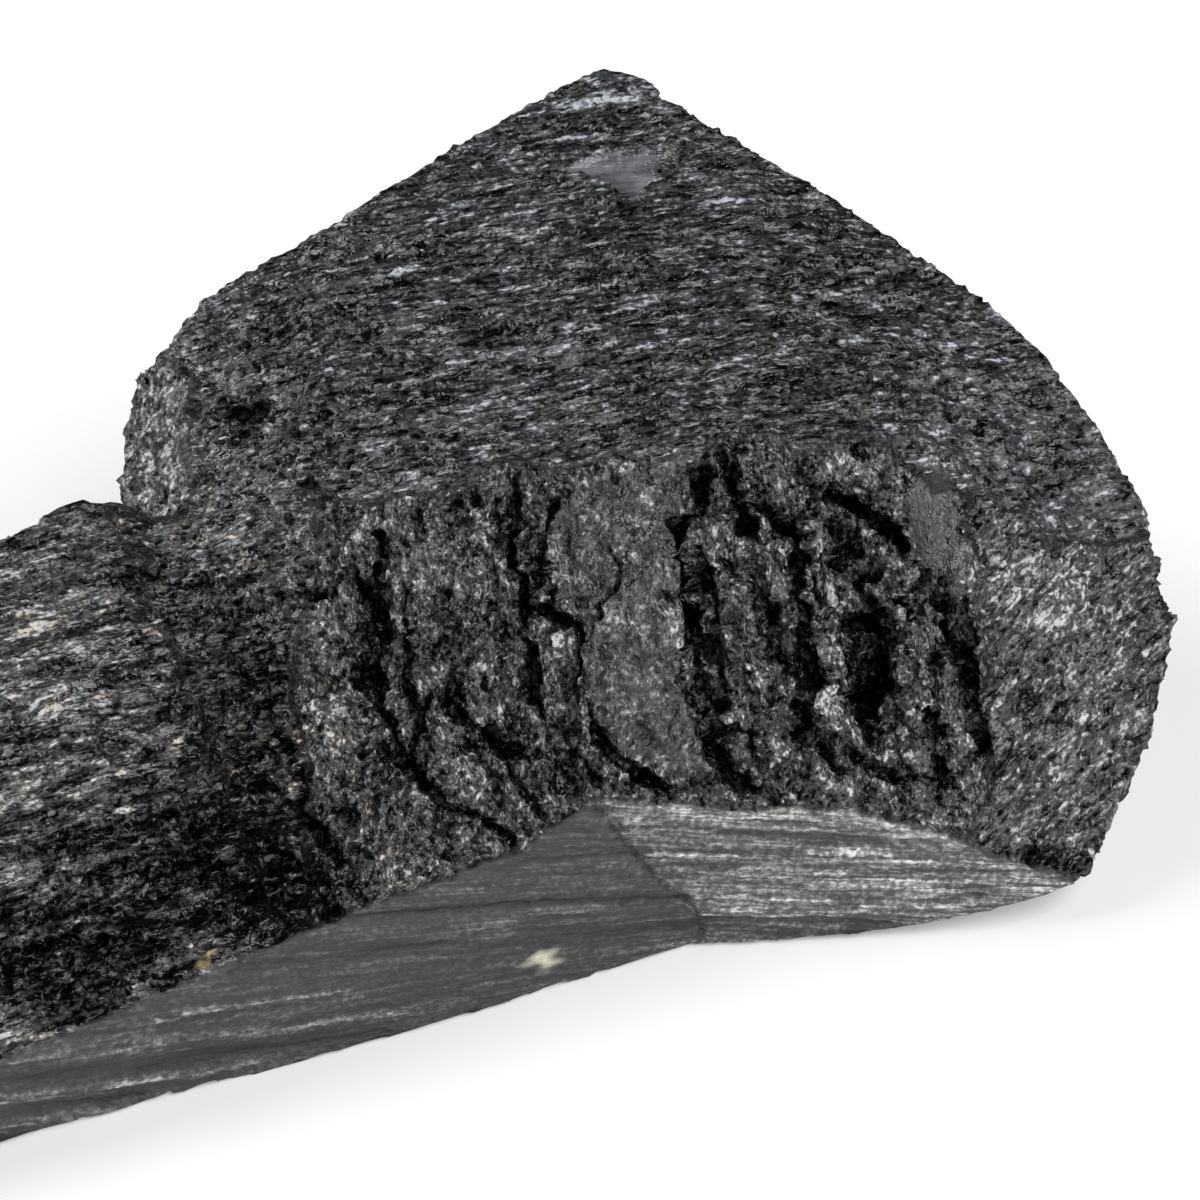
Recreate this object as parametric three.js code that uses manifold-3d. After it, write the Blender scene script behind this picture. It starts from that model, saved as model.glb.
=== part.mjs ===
// A rough black tourmaline (schorl) crystal, in millimetres with +Z up.
//
// Two crystals are grown together side by side. The head is a rounded triangular block: a sloping top,
// a fractured front whose plates are parted by curved cracks, and a striated prism face along its foot.
// The arm is a longer prism that meets the head at an angle and ends in an uneven break. The specimen
// lies on a flat part of its underside, and its origin is the middle of the space it takes, on the floor.
import * as THREE from 'three';
import Module from 'manifold-3d';
import { ConvexGeometry } from 'three/addons/geometries/ConvexGeometry.js';
import { LoftGeometry } from 'three/addons/geometries/LoftGeometry.js';
import { ImprovedNoise } from 'three/addons/math/ImprovedNoise.js';
import { mergeVertices } from 'three/addons/utils/BufferGeometryUtils.js';

const wasm = await Module();
wasm.setup();

// Driving dimensions
const HEAD_TURN = THREE.MathUtils.degToRad( -26 ); // from the arm's long axis to the head's
const ORIGIN = new THREE.Vector3( -30.8, -12.9, 0 ); // the middle of the specimen's outline, on the floor
const HEAD_RINGS = 34; // evenly spaced cross-sections along the head
const ARM_RINGS = 28; // cross-sections along the arm

const LUMP_SIZE = 7; // width of the broad swells of the surface
const LUMP_HEIGHT = 0.45;
const CHIP_SIZE = 2.4; // width of the small chips
const CHIP_HEIGHT = 0.3;
const RIDGE_HEIGHT = 0.5; // of the striations on the prism faces
const RIDGE_SPACING = 5.3; // how many ridges and furrows the height of a prism face has, about
const END_ROUGHNESS = 1.2; // how much rougher the head's far end is
const END_INSET = 0.6; // the share of the way to the middle that the end's flat is drawn in from its rim
const END_BULGE = 1.2; // how far the end swells out at its middle

const PLATE_LIFT = 1.5; // a plate's right edge stands this far over the plate beside it
const PLATE_EDGES = [ -12.6, -5.8, -1.8, 5, 8.4, 11.4, 14.8, 17.6, 21.2 ]; // along the head
const FIRST_PLATE = 7; // length of the plate before the first edge
const PLATE_RISER = 0.25; // width of the step between two plates
const PLATE_SWEEP = 6; // how far to the right a plate's edge has bent where it reaches the low edge
const SKIN = 1.2; // how far a cutting shape stands out of the surface

// The rails that run along the head. Each point is [along, across, up] in the head's own directions:
// along from the arm's side to the far end, across from the front to the back. Every rail has a point
// for each of the same ten sections.
const HEAD_RAILS = {
	foot: [
		[ -26, -20, 0.4 ], [ -22, -31, 0.3 ], [ -14, -40, 0.2 ], [ -5, -36, 0.1 ], [ 0.5, -33.6, 0.1 ],
		[ 8, -33, 0.1 ], [ 16, -32.4, 0.5 ], [ 22.5, -31.6, 1.5 ], [ 27, -30.2, 2.4 ], [ 29, -26, 3 ],
	],
	keel: [
		[ -25, -14, -0.6 ], [ -21, -16, -0.8 ], [ -13, -18, -0.8 ], [ -5, -14, -0.8 ], [ 0.5, -12, -0.8 ],
		[ 8, -13, -0.8 ], [ 15.5, -14, -0.8 ], [ 21, -16, -0.3 ], [ 25, -19, 1 ], [ 27, -21, 2.6 ],
	],
	backFoot: [
		[ -27.5, -14, 1.4 ], [ -20.5, -3, 2 ], [ -12, 4, 2.2 ], [ -4, 10, 2 ], [ 1.5, 12.6, 2.4 ],
		[ 9.5, 7.6, 2 ], [ 17, 2.2, 2.2 ], [ 23.5, -5, 2.6 ], [ 27.5, -12, 3 ], [ 29, -17, 3.6 ],
	],
	backMiddle: [
		[ -28, -12.4, 9 ], [ -21, -1.4, 11 ], [ -12, 6, 12.5 ], [ -4, 12.5, 13 ], [ 2, 15, 13.5 ],
		[ 10, 9.5, 13 ], [ 18, 4, 12 ], [ 24.8, -3.5, 10.5 ], [ 29, -9.5, 9.5 ], [ 30.8, -14, 9 ],
	],
	backTop: [
		[ -27.4, -12.6, 17.6 ], [ -21.5, -4, 21 ], [ -12.5, 3, 24 ], [ -4, 9, 26 ], [ 1.5, 11.5, 27 ],
		[ 9.5, 6, 26 ], [ 17.5, 0.5, 23.5 ], [ 24.3, -5.5, 20.4 ], [ 28.8, -10, 17 ], [ 31.2, -13.4, 13.4 ],
	],
	crest: [
		[ -26, -12.2, 24.2 ], [ -22.8, -8.8, 27.3 ], [ -14.4, -3.9, 30.5 ], [ -5.3, 2.8, 33 ], [ 0.3, 5.6, 34 ],
		[ 8.4, -0.2, 32.8 ], [ 16.3, -5, 29.7 ], [ 23.4, -9.4, 26.4 ], [ 28, -12.6, 22.2 ], [ 31.4, -14.9, 17.2 ],
	],
	slope: [
		[ -26.7, -13.6, 23 ], [ -22.6, -12, 26.2 ], [ -14.2, -13.4, 28.6 ], [ -5, -10.6, 30 ], [ 0.3, -9, 30.8 ],
		[ 8.2, -11.4, 30.2 ], [ 16.1, -12.4, 27.8 ], [ 23.4, -14, 23.6 ], [ 28.8, -14.9, 19 ],
		[ 32.3, -16.2, 14.4 ],
	],
	shoulder: [
		[ -27, -15.4, 21.8 ], [ -22, -16, 24 ], [ -13.6, -22.8, 25 ], [ -5, -23.6, 26 ], [ 0.4, -23.4, 26.5 ],
		[ 8, -22.1, 26.4 ], [ 15.8, -19.6, 25 ], [ 23.2, -18.4, 20.5 ], [ 29.4, -17, 15.2 ],
		[ 33.1, -17.8, 11.8 ],
	],
	belly: [
		[ -27, -17.4, 21 ], [ -22.3, -22.5, 20 ], [ -13.8, -29.6, 18.2 ], [ -5, -30, 19.2 ], [ 0.4, -29.8, 19.6 ],
		[ 8, -29, 19.1 ], [ 15.8, -27.2, 17.6 ], [ 23.2, -25.2, 12.8 ], [ 29.4, -22.8, 8.8 ], [ 32.2, -21.6, 7.8 ],
	],
	lowEdge: [
		[ -26.6, -19, 19.6 ], [ -22, -31, 15.6 ], [ -14, -40.4, 9.2 ], [ -5, -36.6, 9.6 ], [ -0.4, -34.1, 11.4 ],
		[ 8, -32.6, 9.6 ], [ 16, -31.9, 8.2 ], [ 22.8, -31, 4.8 ], [ 27.2, -29.8, 3 ], [ 29.4, -26, 4.6 ],
	],
};

// The rails that run along the arm, nine sections from the broken end to where the head covers it
const ARM_RAILS = {
	foot: [
		[ -85, -29, 0.5 ], [ -75, -30.2, 0.2 ], [ -63, -30.8, 0.1 ], [ -52, -30.4, 0.1 ], [ -42, -30.6, 0.1 ],
		[ -33, -31.4, 0.1 ], [ -25, -31.9, 0.1 ], [ -17, -31.9, 0.1 ], [ -9, -32, 0.1 ],
	],
	keel: [
		[ -83, -14, -0.6 ], [ -74, -14, -0.8 ], [ -62, -14, -0.8 ], [ -52, -14, -0.8 ], [ -42, -15, -0.8 ],
		[ -34, -16, -0.8 ], [ -26, -18, -0.8 ], [ -19, -20, -0.8 ], [ -12, -23, -0.8 ],
	],
	backFoot: [
		[ -84, 0.2, 2 ], [ -74, 1.2, 1.6 ], [ -62, 1.6, 1.8 ], [ -52, 1.8, 1.6 ], [ -42, 1.6, 1.6 ],
		[ -34, 1, 1.6 ], [ -26, -2, 1.2 ], [ -20, -7, 0.8 ], [ -14, -12, 0.4 ],
	],
	backTop: [
		[ -83, 0.4, 12.4 ], [ -74, 1, 13.6 ], [ -62, 1, 14.6 ], [ -52, 0.8, 15 ], [ -42, 0.4, 15.2 ],
		[ -34, -0.4, 15 ], [ -26, -4, 12 ], [ -20, -9, 10 ], [ -16, -14, 8 ],
	],
	crest: [
		[ -82, -5, 18.4 ], [ -73, -5.6, 19.8 ], [ -62, -6, 20.5 ], [ -52, -6.4, 20.2 ], [ -42, -6.4, 20.7 ],
		[ -34, -5.8, 21.5 ], [ -26, -8, 17 ], [ -20, -11, 13 ], [ -17, -16, 10 ],
	],
	streak: [
		[ -83, -13, 16.2 ], [ -74, -13.6, 17.2 ], [ -62, -14, 17.8 ], [ -52, -14.2, 18.1 ], [ -42, -14.6, 18.3 ],
		[ -34, -15, 17.6 ], [ -26, -16, 14 ], [ -20, -18, 11.4 ], [ -17, -21, 9.6 ],
	],
	brow: [
		[ -83.5, -22, 12.2 ], [ -74.5, -22.6, 13 ], [ -62.5, -23, 13.4 ], [ -52, -23, 13.7 ], [ -42, -23, 14 ],
		[ -34, -24, 12.8 ], [ -26, -25, 10.4 ], [ -20, -26, 9.6 ], [ -17, -27, 9.4 ],
	],
	hollow: [
		[ -84, -25.4, 7.8 ], [ -75, -26, 8.3 ], [ -63, -26.4, 8.7 ], [ -52, -26.4, 9 ], [ -42, -26.4, 9.6 ],
		[ -34, -27.2, 9.6 ], [ -26, -28.2, 9.6 ], [ -20, -28.8, 9.8 ], [ -16.4, -29, 11 ],
	],
	lowEdge: [
		[ -84, -28.6, 5.6 ], [ -75, -30.2, 6 ], [ -63, -30.8, 6.3 ], [ -52, -31, 6.5 ], [ -42, -31, 7.7 ],
		[ -33, -31, 8.9 ], [ -25, -31, 9.9 ], [ -19.5, -31, 10.2 ], [ -15.5, -30.9, 11.9 ],
	],
};

// The faces between the rails: how many steps each has across and how rough it is. A prism face has
// ridges along it. On the fractured front the cross-sections bend to the right by the two shares of
// PLATE_SWEEP, and the plates stand out by the two shares of PLATE_LIFT.
const HEAD_FACES = [
	{ from: 'foot', to: 'keel', steps: 3, rough: 0 },
	{ from: 'keel', to: 'backFoot', steps: 3, rough: 0 },
	{ from: 'backFoot', to: 'backMiddle', steps: 5, rough: 0.7, ridged: true },
	{ from: 'backMiddle', to: 'backTop', steps: 5, rough: 0.7, ridged: true },
	{ from: 'backTop', to: 'crest', steps: 3, rough: 1 },
	{ from: 'crest', to: 'slope', steps: 5, rough: 0.7 },
	{ from: 'slope', to: 'shoulder', steps: 5, rough: 0.8 },
	{ from: 'shoulder', to: 'belly', steps: 5, rough: 1.1, sweep: [ 0, 0 ], plates: [ 0, 1 ] },
	{ from: 'belly', to: 'lowEdge', steps: 6, rough: 1.1, sweep: [ 0, 1 ], plates: [ 1, 0.2 ] },
	{ from: 'lowEdge', to: 'foot', steps: 9, rough: 0.2, sweep: [ 1, 0 ], ridged: true },
];
const ARM_FACES = [
	{ from: 'foot', to: 'keel', steps: 3, rough: 0 },
	{ from: 'keel', to: 'backFoot', steps: 3, rough: 0 },
	{ from: 'backFoot', to: 'backTop', steps: 7, rough: 0.6, ridged: true },
	{ from: 'backTop', to: 'crest', steps: 4, rough: 1 },
	{ from: 'crest', to: 'streak', steps: 5, rough: 1 },
	{ from: 'streak', to: 'brow', steps: 5, rough: 1.2 },
	{ from: 'brow', to: 'hollow', steps: 3, rough: 1.4 },
	{ from: 'hollow', to: 'lowEdge', steps: 3, rough: 1 },
	{ from: 'lowEdge', to: 'foot', steps: 7, rough: 0.2, ridged: true },
];

// Cracks that follow the plates' edges: the edge's place along the head, the shares of the way down the
// fractured front at which the crack starts and ends, and its greatest width and depth
const CRACKS = [
	{ edge: -12.6, from: 0.28, to: 0.98, width: 1.7, depth: 2.4 },
	{ edge: -8.6, from: 0.5, to: 0.97, width: 1.1, depth: 1.6 },
	{ edge: -5.8, from: 0.04, to: 0.42, width: 1.1, depth: 1.7 },
	{ edge: -2.2, from: 0.06, to: 0.92, width: 1.4, depth: 2.2 },
	{ edge: 5.2, from: 0.04, to: 0.97, width: 2, depth: 3.2 },
	{ edge: 8.4, from: 0.1, to: 0.6, width: 1.1, depth: 1.7 },
	{ edge: 11, from: 0.04, to: 0.8, width: 1.6, depth: 2.6 },
	{ edge: 14.8, from: 0.1, to: 0.82, width: 2.4, depth: 2.6 },
	{ edge: 20.6, from: 0.3, to: 0.85, width: 1.5, depth: 1.6 },
];

// Pits and broken-out chips: centre in the head's directions, and the radii of each
const PITS = [
	{ at: [ -20, -17.6, 24.6 ], radii: [ 1.9, 1.4, 1.3 ] },
	{ at: [ 1, -2, 33.4 ], radii: [ 3, 2, 1.1 ] },
];

// A small blocky chip stands on the apex
const APEX_CHIP = [
	[ -1.2, 5.4, 33.9 ], [ 0.2, 5.8, 34.5 ], [ 2.4, 5.7, 34 ], [ 3.5, 5, 33.7 ],
	[ -1.6, 2.2, 32.9 ], [ 1, 1.6, 32.7 ], [ 3.8, 2, 32.5 ],
	[ -1.2, 7.6, 31 ], [ 3.2, 7.4, 31 ], [ 1, 5, 29 ],
];

// Flat breaks: a point of each, the direction it faces and the size of what is broken away. The head has
// a smooth oval facet near its far end, and the arm ends in several ledges.
const HEAD_BREAKS = [
	{ at: [ 18.6, -24.4, 21.2 ], facing: [ 0.12, -0.86, 0.5 ], size: 12 },
];
const ARM_BREAKS = [
	{ at: [ -82.4, -15, 9 ], facing: [ -1, 0.12, 0.2 ], size: 70 },
	{ at: [ -79, -4, 12 ], facing: [ -0.74, 0.5, 0.42 ], size: 40 },
	{ at: [ -80.6, -27, 7 ], facing: [ -0.9, -0.42, -0.1 ], size: 30 },
	{ at: [ -79.6, -18, 17.4 ], facing: [ -0.86, -0.2, 0.46 ], size: 14 },
];

const noise = new ImprovedNoise();

function surfaceSwell( point ) {

	const lump = noise.noise( point.x / LUMP_SIZE, point.y / LUMP_SIZE, point.z / LUMP_SIZE );
	const chip = noise.noise( point.x / CHIP_SIZE + 31, point.y / CHIP_SIZE, point.z / CHIP_SIZE );
	return LUMP_HEIGHT * lump + CHIP_HEIGHT * chip;

}

// A plate rises towards its right edge and drops there to the next one
function plateRise( along ) {

	const first = PLATE_EDGES[ 0 ];
	if ( along < first ) return 0.5 * PLATE_LIFT * Math.max( 0, 1 - ( first - along ) / FIRST_PLATE );
	for ( let i = 1; i < PLATE_EDGES.length; i ++ ) {

		const left = PLATE_EDGES[ i - 1 ];
		const right = PLATE_EDGES[ i ];
		if ( along < right ) return PLATE_LIFT * ( ( along - left ) / ( right - left ) - 0.5 );

	}

	return 0;

}

function curvesFromRails( rails ) {

	const curves = {};
	for ( const [ name, points ] of Object.entries( rails ) ) {

		const path = points.map( ( p ) => new THREE.Vector3( ...p ) );
		curves[ name ] = new THREE.CatmullRomCurve3( path, false, 'catmullrom', 0.4 );

	}

	return curves;

}

// The share t of a rail at which it passes a place along the crystal
function shareAt( curve, along ) {

	let low = 0;
	let high = 1;
	for ( let i = 0; i < 30; i ++ ) {

		const middle = ( low + high ) / 2;
		if ( curve.getPoint( middle ).x < along ) low = middle;
		else high = middle;

	}

	return low;

}

// How far along its rails a cross-section is shifted, for a share of the sweep; none at the two ends
function sweepShift( t, share ) {

	const headLength = 60;
	return share * PLATE_SWEEP / headLength * Math.sin( Math.PI * t );

}

// A point between two rails, with the sweep gathering speed towards the low edge
function facePoint( curves, face, t, across ) {

	let shifted = t;
	if ( face.sweep ) {

		const [ start, end ] = face.sweep;
		const eased = end > start ? across * across : across;
		shifted += sweepShift( t, THREE.MathUtils.lerp( start, end, eased ) );

	}

	return curves[ face.from ].getPoint( shifted ).lerp( curves[ face.to ].getPoint( shifted ), across );

}

function ringCentre( curves, faces, t ) {

	const centre = new THREE.Vector3();
	for ( const face of faces ) centre.add( curves[ face.from ].getPoint( t ) );
	return centre.divideScalar( faces.length );

}

// One cross-section: straight from rail to rail, then roughened away from the middle
function ring( curves, faces, t, plate ) {

	const centre = ringCentre( curves, faces, t );
	const roughening = 1 + END_ROUGHNESS * THREE.MathUtils.smoothstep( t, 0.8, 1 );
	const points = [];
	for ( const [ faceIndex, face ] of faces.entries() ) {

		for ( let i = 0; i < face.steps; i ++ ) {

			const across = i / face.steps;
			const point = facePoint( curves, face, t, across );
			const outward = point.clone().sub( centre ).setX( 0 ).normalize();
			let rise = face.rough * roughening * surfaceSwell( point );
			if ( face.ridged && i > 0 ) {

				rise += RIDGE_HEIGHT * noise.noise( across * RIDGE_SPACING, faceIndex + 0.5, 3.7 );

			}

			if ( face.plates ) rise += plate * THREE.MathUtils.lerp( ...face.plates, across );
			points.push( point.addScaledVector( outward, rise ) );

		}

	}

	return points;

}

function armLoft() {

	const curves = curvesFromRails( ARM_RAILS );
	const sections = [];
	for ( let i = 0; i <= ARM_RINGS; i ++ ) sections.push( ring( curves, ARM_FACES, i / ARM_RINGS, 0 ) );
	return new LoftGeometry( sections, { capStart: true, capEnd: true } );

}

// The head's cross-sections are evenly spaced, and one more stands on each side of a plate's edge. The far
// end closes over a smaller copy of the last one.
function headLoft( curves ) {

	const places = [];
	for ( let i = 0; i <= HEAD_RINGS; i ++ ) places.push( { t: i / HEAD_RINGS } );
	for ( const edge of PLATE_EDGES ) {

		for ( const side of [ -0.5, 0.5 ] ) {

			const along = edge + side * PLATE_RISER;
			places.push( { t: shareAt( curves.belly, along ), plate: plateRise( along ) } );

		}

	}

	places.sort( ( a, b ) => a.t - b.t );
	const sections = places.map( ( place ) => {

		const plate = place.plate ?? plateRise( curves.belly.getPoint( place.t ).x );
		return ring( curves, HEAD_FACES, place.t, plate );

	} );
	const endCentre = ringCentre( curves, HEAD_FACES, 1 );
	endCentre.x += END_BULGE;
	sections.push( sections.at( - 1 ).map( ( point ) => point.clone().lerp( endCentre, END_INSET ) ) );
	return new LoftGeometry( sections, { capStart: true, capEnd: true } );

}

function solidFrom( geometry ) {

	const bare = new THREE.BufferGeometry().copy( geometry );
	bare.deleteAttribute( 'normal' );
	bare.deleteAttribute( 'uv' );
	const merged = mergeVertices( bare, 1e-4 );
	return new wasm.Manifold( new wasm.Mesh( {
		numProp: 3,
		vertProperties: new Float32Array( merged.attributes.position.array ),
		triVerts: new Uint32Array( merged.index.array ),
	} ) );

}

function geometryFrom( solid ) {

	const { vertProperties, triVerts } = solid.getMesh();
	const geometry = new THREE.BufferGeometry();
	geometry.setAttribute( 'position', new THREE.BufferAttribute( vertProperties, 3 ) );
	geometry.setIndex( new THREE.BufferAttribute( triVerts, 1 ) );
	geometry.computeVertexNormals();
	return geometry;

}

// A point of the fractured front: down is 0 at the shoulder, a half at the belly and 1 at the low edge
function frontPoint( curves, along, down ) {

	const [ upper, lower ] = HEAD_FACES.filter( ( face ) => face.plates );
	const t = shareAt( curves.belly, along );
	if ( down < 0.5 ) return facePoint( curves, upper, t, 2 * down );
	return facePoint( curves, lower, t, 2 * down - 1 );

}

// A blade with a wedge section that follows a plate's edge and thins out to both its ends
function crackBlade( curves, crack ) {

	const steps = 9;
	const sections = [];
	for ( let i = 0; i <= steps; i ++ ) {

		const t = i / steps;
		const place = frontPoint( curves, crack.edge, THREE.MathUtils.lerp( crack.from, crack.to, t ) );
		const swell = 0.2 + 0.8 * Math.sin( Math.PI * t );
		const depth = crack.depth * swell;
		const mouth = 0.5 * crack.width * swell * ( 1 + SKIN / depth );
		const wander = 0.5 * noise.noise( crack.edge * 3.1, t * 3, 7.5 );
		sections.push( [
			new THREE.Vector3( place.x + wander + mouth, place.y - SKIN, place.z ),
			new THREE.Vector3( place.x + wander - mouth, place.y - SKIN, place.z ),
			new THREE.Vector3( place.x + wander - 0.3 * crack.width, place.y + depth, place.z ),
		] );

	}

	return new LoftGeometry( sections, { capStart: true, capEnd: true } );

}

function pitBall( pit ) {

	const ball = new THREE.IcosahedronGeometry( 1, 1 );
	ball.scale( ...pit.radii );
	return ball.translate( ...pit.at );

}

// The block that a flat break takes away stands in front of the break's plane
function brokenBlock( flat ) {

	const block = new THREE.BoxGeometry( flat.size, flat.size, flat.size );
	block.translate( 0, 0, flat.size / 2 );
	const facing = new THREE.Vector3( ...flat.facing ).normalize();
	const turn = new THREE.Quaternion().setFromUnitVectors( new THREE.Vector3( 0, 0, 1 ), facing );
	block.applyQuaternion( turn );
	return block.translate( ...flat.at );

}

function restingPlane() {

	const below = new THREE.BoxGeometry( 200, 200, 20 );
	return below.translate( 0, 0, -10 );

}

function cutAway( solid, geometries ) {

	return geometries.reduce( ( left, geometry ) => left.subtract( solidFrom( geometry ) ), solid );

}

function headSolid() {

	const curves = curvesFromRails( HEAD_RAILS );
	const chip = new ConvexGeometry( APEX_CHIP.map( ( p ) => new THREE.Vector3( ...p ) ) );
	const body = solidFrom( headLoft( curves ) ).add( solidFrom( chip ) );
	const blades = CRACKS.map( ( crack ) => crackBlade( curves, crack ) );
	const cutters = [ ...HEAD_BREAKS.map( brokenBlock ), ...blades, ...PITS.map( pitBall ) ];
	return solidFrom( geometryFrom( cutAway( body, cutters ) ).rotateZ( HEAD_TURN ) );

}

function crystal() {

	const arm = cutAway( solidFrom( armLoft() ), ARM_BREAKS.map( brokenBlock ) );
	const whole = cutAway( headSolid().add( arm ), [ restingPlane() ] );
	return geometryFrom( whole ).translate( -ORIGIN.x, -ORIGIN.y, -ORIGIN.z );

}

const schorl = new THREE.MeshStandardMaterial( { color: 0x26282b, roughness: 0.5, metalness: 0 } );
const specimen = new THREE.Mesh( crystal(), schorl );
specimen.name = 'tourmaline_crystal';

const group = new THREE.Group();
group.add( specimen );
export default group;
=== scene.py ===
import math
from itertools import product

import bpy
import numpy as np
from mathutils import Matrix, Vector


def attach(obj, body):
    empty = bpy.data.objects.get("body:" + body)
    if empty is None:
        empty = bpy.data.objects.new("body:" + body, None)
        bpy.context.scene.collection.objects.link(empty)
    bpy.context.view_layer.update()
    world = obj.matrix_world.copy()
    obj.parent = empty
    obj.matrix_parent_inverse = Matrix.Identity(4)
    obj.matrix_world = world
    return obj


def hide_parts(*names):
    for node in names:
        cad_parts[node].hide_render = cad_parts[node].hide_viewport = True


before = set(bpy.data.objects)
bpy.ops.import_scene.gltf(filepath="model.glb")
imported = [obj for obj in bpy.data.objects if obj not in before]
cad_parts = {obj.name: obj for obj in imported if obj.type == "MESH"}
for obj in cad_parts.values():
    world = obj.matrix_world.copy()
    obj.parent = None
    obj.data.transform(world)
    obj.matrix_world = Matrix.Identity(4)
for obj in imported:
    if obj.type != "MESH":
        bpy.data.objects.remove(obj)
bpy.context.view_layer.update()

# The camera looks at the crystal as in the photograph, whose pixels are counted from its top left corner
PHOTO_SIZE = 1200
FOCAL = 4160
CAMERA_TARGET = Vector((0.0308, 0.0129, 0.0))
CAMERA_DISTANCE = 0.26
CAMERA_TURN = math.radians(-26)
CAMERA_RISE = math.radians(36)
CAMERA_BACK = Vector((
    math.sin(CAMERA_TURN) * math.cos(CAMERA_RISE),
    -math.cos(CAMERA_TURN) * math.cos(CAMERA_RISE),
    math.sin(CAMERA_RISE),
))

# The light: the room's brightness at the floor and overhead, the floor's own, and the lamps with their
# place and width in metres and their power
HORIZON_LIGHT = 0.3
ZENITH_LIGHT = 0.04
FLOOR_GLOW = 0.14
LAMPS = [
    ("front_lamp", (0.21, -0.38, 0.38), 0.70, 4.2),
    ("back_lamp", (-0.38, 0.25, 0.30), 0.50, 3.2),
]

# The stone's mesh: its fineness, how much its edges are worn and its cracks filled, and how it is thinned
# out. Lengths from here on are in millimetres
VOXEL = 0.2
RELAX_STEPS = 4
FILL_STEPS = 68
CRACK_FILL = 0.45
MOST_TRIANGLES = 195000
SEEN_SHARE = 0.01
LENGTH_COST = 0.003

# Directions of the fibres on each kind of surface, as right, away and up of the picture
ARM_FIBRES = (math.cos(CAMERA_TURN), -math.sin(CAMERA_TURN), 0.0)
FIBRES = {
    "head": (1.0, 0.21, 0.06),
    "front": (0.12, -0.6, -0.8),
    "end": (0.75, 0.45, 0.45),
    "arm": ARM_FIBRES,
    "left_side": (0.1, 0.3, 1.0),
    "crags": (0.3, -0.3, 1.0),
}

# Where one kind of surface passes into the next, and where the solid's cracks are filled, each as from and
# to. The arm's end is in millimetres along the specimen, the rest in pixels across or down the photograph
ARM_ENDS = (-36, -31)
FRONT_BEGINS = (265, 345)
FRONT_ENDS = (945, 1010)
LEFT_SIDE_ENDS = (165, 215)
LEFT_SIDE_TOP = (340, 380)
LEFT_SIDE_FOOT = (500, 540)
FILL_BELOW = (430, 470)
FILL_RIGHT_OF = (280, 330)
SHARP_EDGE = (-3, 3)
SHOULDER_FRONT = (-15, 30)
SHOULDER_END = (0, 30)

# The dirty valley between the arm and the head, in millimetres along the specimen
VALLEY_PLACE = -31
VALLEY_WIDTH = 6

# Lines on the photograph, as pixels: the shoulder over the fractured front, the upper edges of the two
# striated faces and the re-entrant edge between them
SHOULDER = [
    (150, 420), (210, 410), (300, 480), (500, 470), (700, 450), (850, 430), (940, 470), (1000, 500),
]
STRIATED_EDGE_LEFT = [
    (-520, 1170), (0, 1060), (130, 1005), (345, 915), (520, 850), (590, 800), (700, 800),
]
STRIATED_EDGE_RIGHT = [
    (560, 800), (700, 805), (800, 808), (870, 813), (950, 835), (1000, 860), (1080, 881), (1120, 905),
]
INNER_CORNER = [
    (590, 790), (610, 820), (630, 842), (650, 868), (672, 892), (686, 902), (700, 922), (710, 960),
]

# How far from their lines cracks and strokes can still reach, in pixels
CRACK_REACH = 70
STROKE_REACH = 20

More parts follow.
